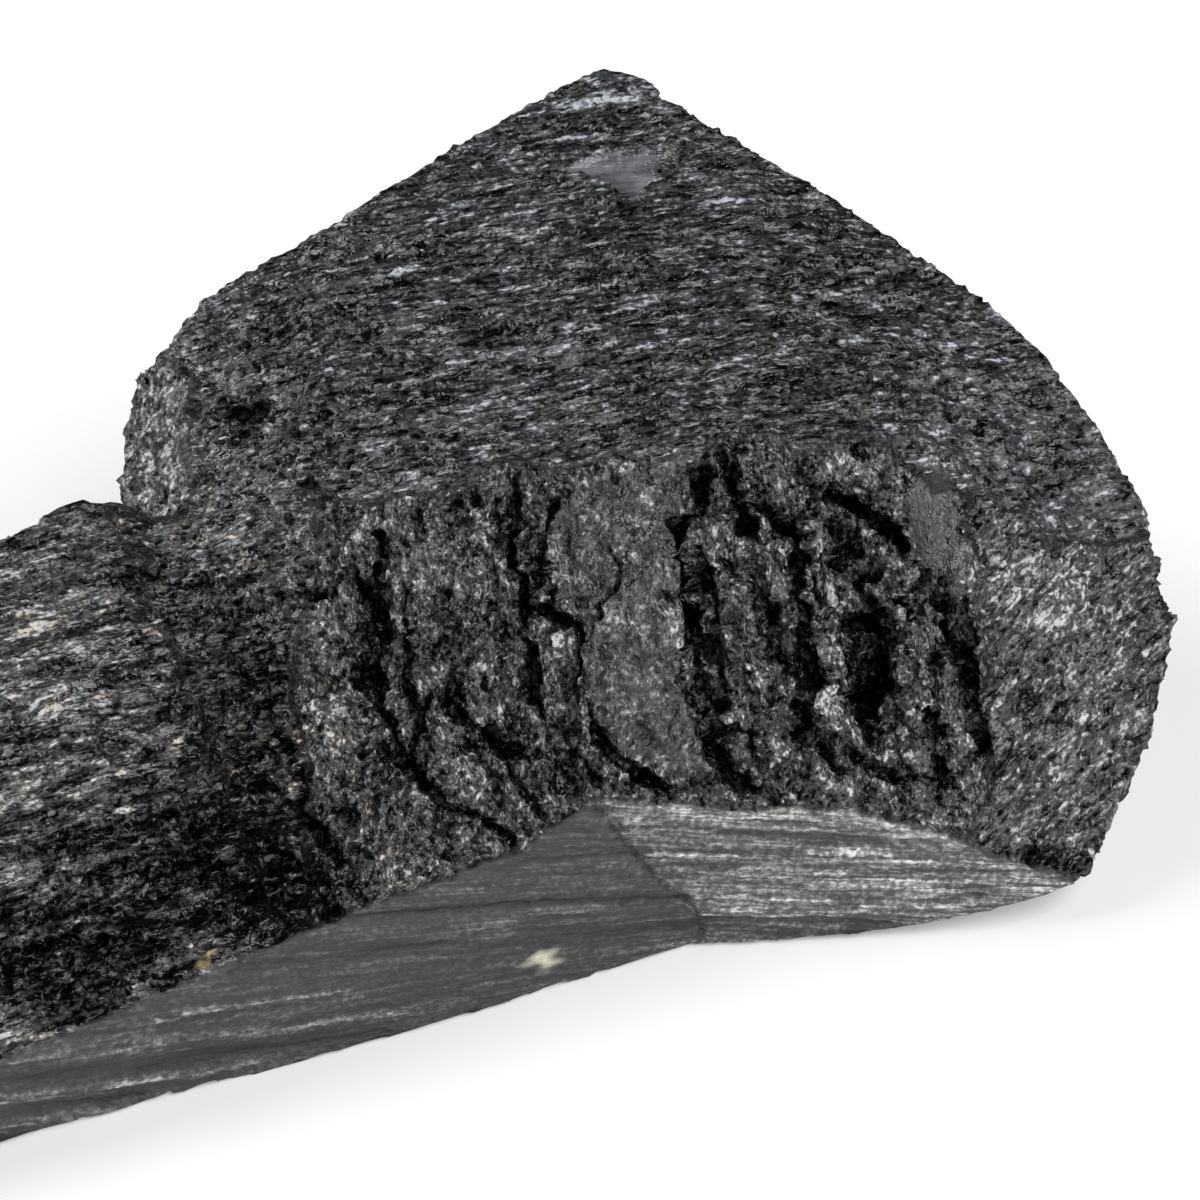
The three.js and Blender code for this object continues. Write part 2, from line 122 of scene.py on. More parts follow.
# Cracks over the fractured front: depth in millimetres, the step of the stone's left side over its right
# side, and points of the photograph with the crack's half width there, in pixels
CRACKS = [
    (2.6, 0.5, [
        (703, 452, 3), (706, 475, 7), (701, 500, 7), (694, 512, 5), (683, 530, 6), (681, 548, 7),
        (684, 570, 6), (684, 600, 8), (688, 625, 10), (688, 650, 10), (690, 675, 11), (700, 702, 12),
        (708, 720, 13), (717, 742, 13), (723, 762, 12), (735, 780, 9), (750, 792, 5),
    ]),
    (1.2, 0.1, [(700, 548, 3), (702, 570, 5), (704, 592, 4), (710, 620, 5), (716, 650, 3)]),
    (1.8, 0.3, [(729, 462, 3), (734, 478, 8), (738, 500, 9), (745, 518, 9), (753, 535, 5)]),
    (1.1, 0.2, [
        (722, 560, 3), (738, 572, 5), (750, 585, 4), (768, 605, 6), (778, 628, 4), (786, 645, 6),
        (790, 662, 2),
    ]),
    (1.6, -0.3, [
        (755, 505, 4), (772, 512, 6), (790, 527, 9), (796, 548, 8), (797, 580, 7), (802, 610, 6),
        (804, 640, 7), (806, 668, 9), (806, 700, 11), (808, 730, 9), (812, 745, 3),
    ]),
    (1.0, 0.1, [(812, 578, 4), (818, 595, 7), (822, 615, 3)]),
    (1.7, 0.3, [(830, 498, 7), (848, 502, 9), (862, 510, 5)]),
    (1.6, 0.1, [
        (822, 522, 5), (836, 528, 8), (846, 545, 5), (844, 575, 6), (842, 600, 7), (846, 625, 5),
    ]),
    (1.6, 0.2, [
        (870, 515, 6), (890, 530, 8), (905, 548, 7), (922, 568, 5), (934, 590, 6), (945, 612, 6),
        (958, 640, 7), (968, 668, 8), (972, 690, 4),
    ]),
    (2.2, -0.2, [
        (862, 560, 6), (868, 600, 7), (872, 640, 11), (880, 662, 14), (874, 700, 12), (872, 726, 8),
        (880, 736, 4),
    ]),
    (1.2, 0.2, [(895, 600, 4), (908, 612, 6), (920, 622, 3)]),
    (1.2, 0.2, [(926, 664, 4), (922, 680, 5), (930, 692, 3)]),
    (1.3, 0.1, [(932, 702, 5), (938, 730, 9), (942, 760, 8), (946, 786, 4)]),
    (1.2, -0.2, [(984, 697, 3), (986, 715, 5), (980, 745, 5), (974, 765, 3)]),
    (1.3, 0.2, [(822, 750, 5), (834, 762, 7), (844, 776, 4)]),
    (1.2, 0.0, [(852, 755, 6), (875, 770, 8), (900, 780, 6), (925, 778, 4)]),
    (0.9, 0.0, [
        (606, 533, 1.6), (613, 545, 2.6), (617, 560, 3.6), (620, 574, 4.4), (617, 589, 3.6),
        (605, 600, 2.4), (597, 608, 2.4), (590, 622, 3), (588, 636, 2),
    ]),
    (1.7, -0.3, [
        (556, 500, 5), (549, 520, 6), (542, 540, 7), (540, 560, 5), (538, 580, 4), (546, 603, 5),
        (560, 616, 7), (572, 627, 8), (577, 645, 5), (577, 668, 4), (576, 690, 4), (572, 712, 3),
    ]),
    (1.0, 0.1, [(548, 560, 2), (550, 585, 3), (558, 605, 4)]),
    (1.5, 0.3, [
        (517, 478, 5), (517, 500, 7), (510, 525, 7), (508, 545, 7), (515, 562, 7), (520, 585, 5),
        (521, 605, 5), (524, 625, 3),
    ]),
    (1.0, 0.1, [(496, 498, 2), (497, 520, 3), (495, 545, 4)]),
    (1.5, 0.2, [
        (520, 640, 4), (530, 652, 8), (530, 672, 8), (526, 690, 6), (534, 706, 6), (546, 722, 6),
        (560, 735, 7), (572, 747, 6), (583, 757, 5), (590, 775, 4), (600, 785, 3),
    ]),
    (1.1, 0.1, [
        (588, 705, 3), (594, 722, 4), (602, 742, 6), (615, 755, 7), (640, 775, 6), (660, 785, 4),
    ]),
    (1.2, 0.3, [
        (448, 668, 4), (450, 690, 5), (452, 706, 5), (464, 724, 6), (482, 738, 9), (500, 752, 11),
        (518, 750, 8),
    ]),
    (1.4, 0.2, [(506, 764, 3), (514, 780, 5), (526, 796, 5), (538, 810, 5), (547, 819, 3)]),
    (1.0, 0.2, [
        (300, 602, 2), (318, 596, 3), (334, 588, 4), (344, 575, 4), (356, 572, 3), (366, 590, 5),
    ]),
    (1.6, 0.2, [
        (384, 535, 4), (382, 560, 5), (372, 590, 7), (378, 620, 10), (368, 650, 11), (366, 675, 9),
        (368, 700, 6), (380, 718, 6), (393, 738, 6), (402, 758, 7), (416, 776, 7), (432, 792, 6),
        (450, 806, 7), (466, 813, 6), (488, 818, 3), (502, 832, 4), (515, 842, 3),
    ]),
    (1.1, 0.1, [(404, 590, 2), (402, 620, 4), (408, 650, 5), (402, 680, 5), (412, 705, 6)]),
    (1.3, 0.1, [(436, 690, 3), (424, 700, 4), (420, 725, 5), (412, 745, 6)]),
    (1.0, -0.2, [
        (284, 735, 4), (290, 760, 5), (300, 792, 7), (308, 815, 9), (325, 840, 6), (345, 866, 4),
    ]),
    (0.5, 0.0, [(369, 755, 1.5), (370, 770, 2.5), (374, 778, 1.5)]),
    (0.5, 0.0, [(337, 302, 1.5), (349, 315, 2.5), (362, 328, 2), (372, 344, 1.5)]),
    (0.6, 0.1, [(328, 456, 1.5), (335, 463, 2.5), (345, 465, 2.5), (358, 457, 1.5)]),
]

# Thin ledges and splinters that stand in or beside the cracks, made bright by painted highlights: height
# in millimetres, then points with the half width, as for the cracks
SPLINTERS = [
    (1.2, [(690, 516, 2), (692, 535, 5), (695, 560, 4), (693, 585, 3), (700, 600, 2)]),
    (1.3, [(704, 655, 2), (709, 672, 4), (714, 688, 3), (720, 700, 2)]),
    (0.9, [(736, 706, 2), (743, 715, 4), (748, 728, 2)]),
    (0.8, [(730, 734, 2), (737, 742, 3), (744, 752, 2)]),
    (0.8, [(774, 622, 3), (782, 636, 5), (788, 652, 3)]),
    (0.8, [(812, 520, 2), (814, 545, 5), (816, 570, 3)]),
    (0.8, [(826, 570, 3), (828, 595, 4), (830, 618, 2)]),
    (1.0, [(820, 670, 3), (824, 695, 4), (830, 722, 3), (840, 735, 2)]),
    (0.9, [(858, 590, 2), (862, 612, 3), (866, 622, 2)]),
    (1.2, [(872, 585, 3), (885, 603, 5), (897, 615, 5), (905, 622, 2)]),
    (0.8, [(885, 700, 2), (882, 715, 3), (890, 722, 2)]),
    (0.7, [(550, 650, 3), (558, 640, 6), (562, 655, 4)]),
    (0.7, [(508, 655, 3), (512, 672, 5), (520, 685, 3)]),
]

# Rounded hollows and swells seen on the photograph: centre and radii in pixels, height in millimetres
HOLLOWS = [
    ((872, 640), (36, 110), -1.1),
    ((712, 690), (22, 90), -0.6),
    ((375, 640), (28, 70), -0.7),
    ((490, 745), (40, 20), -0.6),
    ((240, 412), (26, 13), -1.0),
    ((205, 880), (150, 60), -0.7),
    ((1040, 862), (34, 14), -0.8),
    ((1030, 700), (9, 26), -0.8),
    ((1060, 712), (8, 15), -0.8),
    ((1092, 762), (7, 13), -0.6),
    ((620, 660), (52, 130), 0.35),
    ((345, 730), (45, 70), 0.4),
    ((468, 570), (40, 60), 0.3),
    ((770, 590), (22, 40), 0.35),
]

# Places that are darker or paler than the stone around them: centre and radii in pixels, and the
# difference in photographic stops. Most dark ones are painted shade in hollows, along cracks and at the
# shadowed foot of the arm; many pale ones are painted highlights and glints, as on the chip, the left rim,
# the arm and the right end
SHADE_HIGHLIGHT_AND_TONE_SPOTS = [
    ((330, 730), (34, 80), 0.9),
    ((450, 790), (55, 24), 1.0),
    ((432, 762), (15, 15), 1.0),
    ((425, 555), (42, 55), 0.2),
    ((450, 640), (60, 60), -0.5),
    ((400, 620), (36, 22), 0.7),
    ((322, 628), (18, 24), 1.0),
    ((378, 640), (18, 75), -1.0),
    ((500, 745), (45, 24), -1.4),
    ((560, 780), (44, 26), -1.7),
    ((640, 790), (72, 13), -1.6),
    ((530, 560), (24, 75), -1.0),
    ((470, 670), (26, 30), -0.6),
    ((600, 680), (18, 32), 0.9),
    ((558, 645), (13, 15), 1.4),
    ((690, 600), (13, 120), -1.6),
    ((720, 740), (32, 48), -1.6),
    ((712, 490), (11, 24), 1.2),
    ((714, 560), (13, 27), 1.0),
    ((775, 565), (24, 30), 0.6),
    ((770, 640), (24, 24), 0.5),
    ((740, 600), (20, 22), -0.6),
    ((800, 730), (20, 60), -0.9),
    ((850, 540), (42, 52), -1.2),
    ((875, 650), (24, 95), -1.9),
    ((830, 710), (15, 37), 1.3),
    ((815, 570), (11, 62), 0.8),
    ((790, 765), (46, 24), 0.5),
    ((920, 690), (32, 62), 0.5),
    ((955, 640), (18, 65), -1.3),
    ((950, 760), (32, 42), -1.0),
    ((900, 800), (65, 16), -0.6),
    ((190, 880), (190, 120), -3.1),
    ((110, 985), (140, 60), -2.4),
    ((285, 860), (95, 110), -2.4),
    ((30, 950), (110, 70), -1.6),
    ((330, 900), (50, 26), -1.6),
    ((178, 938), (26, 14), 2.6),
    ((300, 830), (14, 40), 1.6),
    ((60, 650), (100, 130), 1.1),
    ((120, 690), (50, 60), 0.6),
    ((235, 710), (80, 160), -2.1),
    ((165, 620), (45, 75), -0.9),
    ((130, 570), (70, 34), -0.8),
    ((430, 195), (135, 60), 0.35),
    ((630, 110), (80, 60), 0.8),
    ((560, 110), (60, 16), 0.8),
    ((700, 170), (60, 24), -0.6),
    ((300, 390), (140, 110), -0.8),
    ((240, 412), (46, 27), -1.2),
    ((160, 440), (45, 100), 1.5),
    ((165, 400), (14, 30), 0.9),
    ((190, 460), (12, 30), 0.9),
    ((1030, 592), (95, 50), 1.3),
    ((1045, 580), (70, 22), 0.7),
    ((1100, 700), (60, 90), 0.35),
    ((1080, 620), (60, 60), 0.8),
    ((640, 180), (26, 18), 1.6),
    ((1000, 730), (32, 52), 0.5),
    ((1100, 760), (52, 82), 0.3),
    ((1030, 700), (9, 28), -2.2),
    ((1060, 712), (9, 17), -2.2),
    ((1092, 762), (8, 15), -1.8),
    ((1055, 865), (38, 27), -2.2),
    ((1000, 850), (62, 15), -1.3),
    ((968, 650), (18, 82), -1.3),
    ((1000, 480), (62, 42), -0.4),
]

# Ridges and furrows along the two striated faces, with painted light on the ridges and painted shade in
# the
# furrows: the difference in stops, where paler stands higher, then points with the half width in pixels
BANDS = [
    (0.25, [(0, 1062, 16), (300, 1036, 14)]),
    (0.9, [(0, 1060, 4), (100, 1052, 4), (200, 1036, 3), (300, 1024, 3), (420, 1010, 3)]),
    (0.8, [(150, 1020, 3), (250, 1003, 3), (350, 990, 3)]),
    (-1.1, [(0, 1082, 7), (80, 1074, 8), (200, 1056, 7), (300, 1046, 6), (420, 1034, 5)]),
    (1.0, [(0, 1098, 5), (100, 1086, 5), (200, 1072, 4), (260, 1060, 3)]),
    (-1.0, [(0, 1112, 4), (60, 1106, 4), (140, 1096, 3)]),
    (1.0, [(0, 1122, 6), (80, 1114, 6), (150, 1100, 4), (230, 1085, 3)]),
    (-1.3, [(0, 1141, 6), (60, 1134, 5), (100, 1128, 4)]),
    (-1.5, [(335, 921, 3), (440, 911, 3), (519, 905, 3), (600, 901, 3), (690, 899, 3)]),
    (-1.0, [(480, 948, 3), (560, 940, 4), (640, 932, 4), (705, 922, 4)]),
    (-0.9, [(230, 972, 3), (350, 957, 4), (470, 942, 3)]),
    (-1.0, [(520, 862, 2), (600, 856, 3), (650, 852, 2)]),
    (0.5, [(600, 803, 4), (700, 809, 4), (800, 813, 4), (870, 818, 4), (950, 840, 3)]),
    (-0.9, [(720, 832, 3), (800, 838, 4), (880, 842, 3), (940, 845, 3)]),
    (-0.7, [(670, 853, 2), (760, 852, 2), (830, 850, 2)]),
    (-0.7, [(650, 866, 2), (690, 866, 3), (760, 864, 2)]),
    (-0.8, [(900, 868, 2), (960, 872, 2), (1010, 876, 2)]),
    (-0.8, [(930, 901, 3), (960, 898, 3), (985, 893, 3)]),
    (-1.2, [(700, 919, 3), (760, 920, 3), (830, 920, 3), (890, 925, 4)]),
    (-0.8, [(700, 930, 8), (780, 932, 7), (860, 930, 6), (900, 928, 4)]),
    (-1.0, [
        (598, 800, 1.5), (628, 835, 2), (640, 855, 2), (660, 878, 2.5), (684, 898, 2.5), (700, 915, 2),
    ]),
]
BAND_HEIGHT = 0.08
BAND_CONTRAST = 2.0

# The striations' slope on each striated face by pixel row, the pixel column where those rows are taken,
# how often a row is corrected for its slope, and the photograph's scale there
LEFT_SLOPES = [(880, 0.04), (914, 0.07), (950, 0.12), (1016, 0.18), (1060, 0.27)]
LEFT_COLUMN = 450
RIGHT_SLOPES = [(800, -0.05), (930, 0.0)]
RIGHT_COLUMN = 800
SLOPE_ROUNDS = 6
PIXELS_PER_MM = 16

# How much darker or paler each kind of surface is than plain stone, in stops, the chip's partly as a
# painted reflection, then the painted shade in cracks and the painted highlights on splinters, and the
# span of stops that is kept for the material
KIND_STOPS = {
    "plate": 0.8,
    "facet": 0.1,
    "chip": 0.7,
    "head": -0.15,
    "front": -0.15,
    "hidden_prism": -0.3,
}
CRACK_SHADE_STOPS = -3.4
SPLINTER_HIGHLIGHT_STOPS = 2.4
TONE_RANGE = 10

# Dark and pale spots on each kind of surface: their difference in stops, and their length and width
MOTTLES = {
    "head": (2.6, 5.0, 1.1),
    "front": (3.8, 1.8, 1.1),
    "arm": (4.2, 3.0, 1.0),
    "left_side": (4.0, 2.0, 1.0),
    "end": (2.0, 2.6, 0.9),
}

# Outlines of the smooth facet and the glassy chip, the chip's dish as centre and radii, its rim as points
# with the half width, how high the rim stands in millimetres, and the outline of the palest plate
SMOOTH_FACET = [
    (908, 492), (922, 476), (943, 468), (953, 482), (957, 520), (966, 560), (962, 582), (945, 574),
    (925, 560), (912, 535),
]
GLASSY_CHIP = [
    (556, 172), (578, 160), (602, 150), (652, 150), (668, 148), (676, 153), (660, 163), (650, 178),
    (640, 192), (632, 199), (622, 192), (612, 188), (600, 178), (580, 172),
]
CHIP_DISH = ((628, 166), (62, 30))
CHIP_RIM = [
    (534, 184, 1), (560, 180, 2), (580, 176, 2.5), (596, 177, 2.5), (606, 183, 2.5), (615, 191, 2),
]
CHIP_RIM_HEIGHT = 0.25
PALE_PLATE = [
    (548, 560), (560, 500), (600, 475), (650, 462), (705, 450), (696, 500), (678, 530), (676, 620),
    (682, 690), (700, 740), (712, 785), (660, 770), (612, 745), (585, 690), (590, 620),
]

# Flecks of other minerals: centre and radii in pixels
MICA_FLAKE = ((210, 957), (9, 4))
CREAM_FLECK = ((546, 958), (11, 9))

# Colours, and how bright a light spot gets against its tint
STONE_TINT = (0.0177, 0.0187, 0.0203, 1)
PLATE_TINT = (0.0201, 0.0203, 0.0198, 1)
# The striated faces are paler than the stone partly as a painted sheen of the bright floor
FACE_TINT_AND_SHEEN = (0.0285, 0.0277, 0.0270)
# The chip is paler partly as a painted reflection of the bright room
CHIP_TINT_AND_REFLECTION = (0.072, 0.069, 0.078, 1)
SOIL_TINT = (0.032, 0.025, 0.018, 1)
MICA_TINT = (0.62, 0.48, 0.27, 1)
CREAM_TINT = (0.62, 0.58, 0.46, 1)
BRIGHTEST = 26.0
# The right face is made paler by a painted sheen of the bright floor it faces
RIGHT_FACE_SHEEN_STOPS = 2.5
STONE_IOR = 1.63

# The finest texture: facets as their scale, tilt and difference in stops, how far they bend, and the
# scale of the crumbs
FACET_LAYERS = [(1.4, 0.7, 2.0), (4.0, 0.6, 2.4)]
FACET_BEND = 0.5
CRUMB_SCALE = 3000


def smooth(value, low, high):
    """From 0 at low to 1 at high, with soft ends."""
    t = np.clip((value - low) / (high - low), 0, 1)
    return t * t * (3 - 2 * t)


def scramble(cell, seed):
    """A fixed whole number for each cell of a grid."""
    n = cell[:, 0] * 73856093 ^ cell[:, 1] * 19349663 ^ cell[:, 2] * 83492791 ^ seed * 40503
    n = (n ^ (n >> 15)) * 2246822519 & 0xFFFFFFFF
    n = (n ^ (n >> 13)) * 3266489917 & 0xFFFFFFFF
    return n ^ (n >> 16)


def arrow(number):
    """A fixed direction in a unit cube for each whole number."""
    parts = [(number >> shift & 255) / 127.5 - 1 for shift in (0, 8, 16)]
    return np.stack(parts, axis=1)


def noise(points, seed):
    """Smooth gradient noise from about -1 to 1, with one swell in each unit cell."""
    cell = np.floor(points).astype(np.int64)
    part = points - cell
    share = part ** 3 * (part * (part * 6 - 15) + 10)
    total = np.zeros(len(points))
    for corner in product((0, 1), repeat=3):
        slope = arrow(scramble(cell + corner, seed))
        weight = np.where(corner, share, 1 - share).prod(axis=1)
        total += weight * (slope * (part - corner)).sum(axis=1)
    return total


def stretch(points, fibres, length, width):
    """The points in cells that are long along the fibres and narrow across them."""
    axis = np.array(fibres) / np.linalg.norm(fibres)
    along = (points @ axis)[:, None] * axis
    return (points - along) / width + along / length


def terraces(value, steps):
    """Turns a slope into flat treads with short risers."""
    level = np.floor(value * steps)
    return (level + smooth(value * steps - level, 0.4, 0.6)) / steps


def foliation(points, fibres, length, width, seed):
    """The stepped edges of thin layers, from about -1 to 1."""
    cells = stretch(points, fibres, length, width)
    cells += 0.6 * noise(points / (3 * width), seed + 50)[:, None]
    return terraces(noise(cells, seed) + 0.5 * noise(cells * 2.3, seed + 1), 3)


def flakes(points, fibres, length, width, seed):
    """Flat flakes, each with its own tilt and level, from about -1 to 1."""
    cells = stretch(points, fibres, length, width)
    home = np.floor(cells).astype(np.int64)
    nearest = np.full(len(cells), 9.0)
    height = np.zeros(len(cells))
    for offset in product((-1, 0, 1), repeat=3):
        number = scramble(home + offset, seed)
        gap = cells - (home + offset + 0.5 + 0.4 * arrow(number))
        distance = (gap * gap).sum(axis=1)
        closer = distance < nearest
        tilt = arrow(scramble(home + offset, seed + 7))
        level = 0.5 * tilt[:, 0] + (gap * tilt[:, [1, 2, 0]]).sum(axis=1)
        height = np.where(closer, level, height)
        nearest = np.where(closer, distance, nearest)
    return height


def crevices(points, fibres, length, width, seed):
    """Thin winding gaps that come and go: 1 in their middle, 0 a little way off."""
    cells = stretch(points, fibres, length, width)
    cells += 0.7 * noise(points / (1.5 * width), seed + 50)[:, None]
    gate = smooth(noise(points / (2.5 * width), seed + 51), -0.1, 0.25)
    return gate * (1 - smooth(np.abs(noise(cells, seed)), 0.0, 0.1))


def wander(points, amount, seed):
    """A ragged shift in swells of three sizes, up to about the amount."""
    shift = np.zeros(len(points))
    for step, size in enumerate((1.6, 0.7, 0.35)):
        shift += amount / (1 + 0.7 * step) * noise(points / size, seed + step)
    return shift


def flowing(view):
    """The places bent a little, so that what is laid on them runs in waves."""
    bend = 1.6 * noise(view / 9, seed=61) + 0.6 * noise(view / 3.5, seed=62)
    return view + bend[:, None] * np.array([0.1, 0.75, 0.6])


def in_view(points):
    """The points as right, away and up of the picture, and the pixels where the photograph shows them."""
    offset = points - np.array(CAMERA_TARGET) * 1000
    right = offset[:, 0] * math.cos(CAMERA_TURN) + offset[:, 1] * math.sin(CAMERA_TURN)
    away = -offset[:, 0] * math.sin(CAMERA_TURN) + offset[:, 1] * math.cos(CAMERA_TURN)
    up = offset[:, 2]
    depth = CAMERA_DISTANCE * 1000 + away * math.cos(CAMERA_RISE) - up * math.sin(CAMERA_RISE)
    u = PHOTO_SIZE / 2 + FOCAL * right / depth
    v = PHOTO_SIZE / 2 - FOCAL * (away * math.sin(CAMERA_RISE) + up * math.cos(CAMERA_RISE)) / depth
    return np.stack([right, away, up], axis=1), u, v


def below_line(u, v, line):
    """How many pixels each point lies below a line across the picture."""
    xs, ys = zip(*line)
    return v - np.interp(u, xs, ys)


def right_of_line(u, v, line):
    """How many pixels each point lies to the right of a line down the picture."""
    xs, ys = zip(*line)
    return u - np.interp(v, ys, xs)


def oval(u, v, centre, radii):
    """1 at the centre of an oval, 0 on its edge and below 0 outside."""
    return 1 - np.hypot((u - centre[0]) / radii[0], (v - centre[1]) / radii[1])


def stroke(u, v, points):
    """How many half widths each point is from a line of (u, v, half width), and on which side of it."""
    nearest = np.full(len(u), 99.0)
    side = np.zeros(len(u))
    for (u0, v0, w0), (u1, v1, w1) in zip(points, points[1:]):
        run = (u1 - u0) ** 2 + (v1 - v0) ** 2
        t = np.clip(((u - u0) * (u1 - u0) + (v - v0) * (v1 - v0)) / run, 0, 1)
        gap = np.hypot(u - u0 - t * (u1 - u0), v - v0 - t * (v1 - v0)) / (w0 + t * (w1 - w0))
        cross = (u1 - u0) * (v - v0) - (v1 - v0) * (u - u0)
        closer = gap < nearest
        side = np.where(closer, np.sign(cross), side)
        nearest = np.where(closer, gap, nearest)
    return nearest, side


def near(u, v, points, margin):
    """The indices of the points in the box around a line."""
    us = [p[0] for p in points]
    vs = [p[1] for p in points]
    across = (u > min(us) - margin) & (u < max(us) + margin)
    down = (v > min(vs) - margin) & (v < max(vs) + margin)
    return np.nonzero(across & down)[0]


def inside_shape(u, v, corners):
    """Whether each point lies inside a closed outline."""
    inside = np.zeros(len(u), bool)
    for (u0, v0), (u1, v1) in zip(corners, corners[1:] + corners[:1]):
        crosses = (v0 > v) != (v1 > v)
        edge = (u1 - u0) * (v - v0) / (v1 - v0 + 1e-9) + u0
        inside ^= crosses & (u < edge)
    return inside


def striated_faces(u, v, ragged, seen):
    """How much of the left and of the right striated face every point has."""
    beyond_corner = smooth(right_of_line(u, v, INNER_CORNER), *SHARP_EDGE)
    left = smooth(below_line(u, v + 0.5 * ragged, STRIATED_EDGE_LEFT), *SHARP_EDGE)
    right = smooth(below_line(u, v + 0.4 * ragged, STRIATED_EDGE_RIGHT), *SHARP_EDGE)
    return left * (seen * (1 - beyond_corner)), right * (seen * beyond_corner)


def regions(points, normals):
    """How much of each kind of surface every point has, from 0 to 1, and where the photograph shows it."""
    view, u, v = in_view(points)
    ragged = 14 * noise(points / 2.2, seed=3) + 6 * noise(points / 0.7, seed=4)
    sway = 60 * noise(points / 5, seed=5) + ragged
    seen = smooth(normals @ np.array(CAMERA_BACK), 0.0, 0.2)
    left_face, right_face = striated_faces(u, v, ragged, seen)
    faces = np.maximum(left_face, right_face)
    open_stone = seen * (1 - faces)
    arm_place = points[:, 0] - CAMERA_TARGET.x * 1000 + 0.06 * ragged
    arm = 1 - smooth(arm_place, *ARM_ENDS)
    head = 1 - arm
    rim = 1 - smooth(u + sway, *FRONT_ENDS)
    front = open_stone * head * smooth(below_line(u, v + sway, SHOULDER), *SHOULDER_FRONT)
    left_side = 1 - smooth(u + ragged, *LEFT_SIDE_ENDS)
    left_side *= smooth(v, *LEFT_SIDE_TOP) * (1 - smooth(v, *LEFT_SIDE_FOOT))
    below_shoulder = smooth(below_line(u, v + 2 * sway, SHOULDER), *SHOULDER_END)
    surface = {
        "view": view,
        "u": u,
        "v": v,
        "seen": seen,
        "faces": faces,
        "open": open_stone,
        "left_face": left_face,
        "right_face": right_face,
        "arm": arm * (1 - faces),
        "front": front * smooth(u + sway, *FRONT_BEGINS) * rim,
        "end": open_stone * head * (1 - rim) * below_shoulder,
        "left_side": left_side * head * seen,
        "valley": np.exp(-((arm_place - VALLEY_PLACE) / VALLEY_WIDTH) ** 2) * open_stone,
        "hidden_prism": (1 - seen) * (1 - smooth(normals[:, 2], 0.2, 0.5)),
        "under": smooth(-normals[:, 2], 0.5, 0.8),
        "plate": open_stone * inside_shape(u + 0.4 * ragged, v + 0.4 * ragged, PALE_PLATE),
        "facet": open_stone * inside_shape(u + 0.15 * ragged, v + 0.15 * ragged, SMOOTH_FACET),
        "chip": open_stone * inside_shape(u, v, GLASSY_CHIP),
    }
    others = sum(surface[kind] for kind in ("arm", "faces", "front", "end", "left_side", "under"))
    surface["head"] = np.clip(1 - others, 0, 1)
    surface["stripes"] = striped_places(surface)
    return surface


def levelled(u, v, slopes, column):
    """The pixel row where the striation through each point crosses a column."""
    rows, tilts = zip(*slopes)
    level = v.copy()
    for _ in range(SLOPE_ROUNDS):
        level = v + np.interp(level, rows, tilts) * (u - column)
    return level


def striped_places(surface):
    """Level across and place along the striations of the two lower faces, in millimetres."""
    left = levelled(surface["u"], surface["v"], LEFT_SLOPES, LEFT_COLUMN)
    right = levelled(surface["u"], surface["v"], RIGHT_SLOPES, RIGHT_COLUMN)
    level = np.where(surface["left_face"] > surface["right_face"], left, right) / PIXELS_PER_MM
    return np.stack([level, surface["view"] @ np.array(ARM_FIBRES)], axis=1)


def mottling(points, fibres, length, width):
    """Dark and pale spots, from about -1 to 1."""
    cells = stretch(points, fibres, length, width)
    return noise(cells, seed=81) + 0.6 * noise(cells * 2.2, seed=82)


def tones_and_painted_light(surface, points):
    """How much darker or paler each point is than plain stone, in stops, apart from its cracks: its own
    tone and random spots, with painted shade and highlights from the spots and painted light and shade
    along the bands of the striated faces.
    """
    u = surface["u"] + wander(points, amount=12, seed=71)
    v = surface["v"] + wander(points, amount=12, seed=74)
    stops = sum(change * surface[kind] for kind, change in KIND_STOPS.items())
    for centre, radii, change in SHADE_HIGHLIGHT_AND_TONE_SPOTS:
        stops += change * surface["open"] * smooth(oval(u, v, centre, radii), 0, 0.6)
    for kind, (change, length, width) in MOTTLES.items():
        lay(stops, change * surface[kind], surface["view"], mottling, FIBRES[kind], length, width)
    shift = wander(points, amount=3, seed=77)
    # Painted light on the ridges and painted shade in the furrows of the striated faces
    for change, line in BANDS:
        some = near(surface["u"], surface["v"], line, margin=STROKE_REACH)
        gap, _ = stroke(surface["u"][some], surface["v"][some] + shift[some], line)
        stops[some] += BAND_CONTRAST * change * surface["faces"][some] * (1 - smooth(gap, 0.4, 1.5))
    return stops


def lay(height, share, points, texture, *details):
    """Adds a texture where its kind of surface shows."""
    some = np.nonzero(np.abs(share) > 0.004)[0]
    height[some] += share[some] * texture(points[some], *details)


# Layers of relief on each kind of surface: texture, length and width of its cells, and height
LARGE_LAYERS = {
    "head": [(foliation, 10.0, 1.9, 0.26)],
    "front": [(flakes, 6.0, 2.4, 0.5), (flakes, 2.6, 1.4, 0.4)],
    "arm": [(flakes, 7.0, 2.2, 0.45), (foliation, 7.0, 1.6, 0.3)],
    "end": [(flakes, 3.0, 1.8, 0.3)],
}
FINE_LAYERS = {
    "head": [(foliation, 3.6, 0.75, 0.17), (flakes, 1.8, 0.6, 0.1)],
    "front": [(flakes, 1.5, 0.8, 0.2), (crevices, 5.0, 1.6, -0.35)],
    "arm": [(foliation, 3.0, 0.7, 0.22), (flakes, 1.8, 0.7, 0.2)],
    "end": [(foliation, 3.2, 0.7, 0.2), (flakes, 1.2, 0.7, 0.16)],
    "left_side": [(flakes, 3.0, 0.9, 0.3)],
    "crags": [(flakes, 1.3, 1.1, 0.6), (flakes, 0.7, 0.6, 0.25)],
}


def lay_all(height, layers, surface, places, seed):
    """Adds every kind of surface's layers, stronger in some patches than in others."""
    patches = 0.5 + smooth(noise(places / 6, seed), -0.35, 0.4)
    for kind, textures in layers.items():
        share = surface[kind] * patches * (1 - surface["smooth"])
        for texture, length, width, rise in textures:
            seed += 3
            lay(height, rise * share, places, texture, FIBRES[kind], length, width, seed)


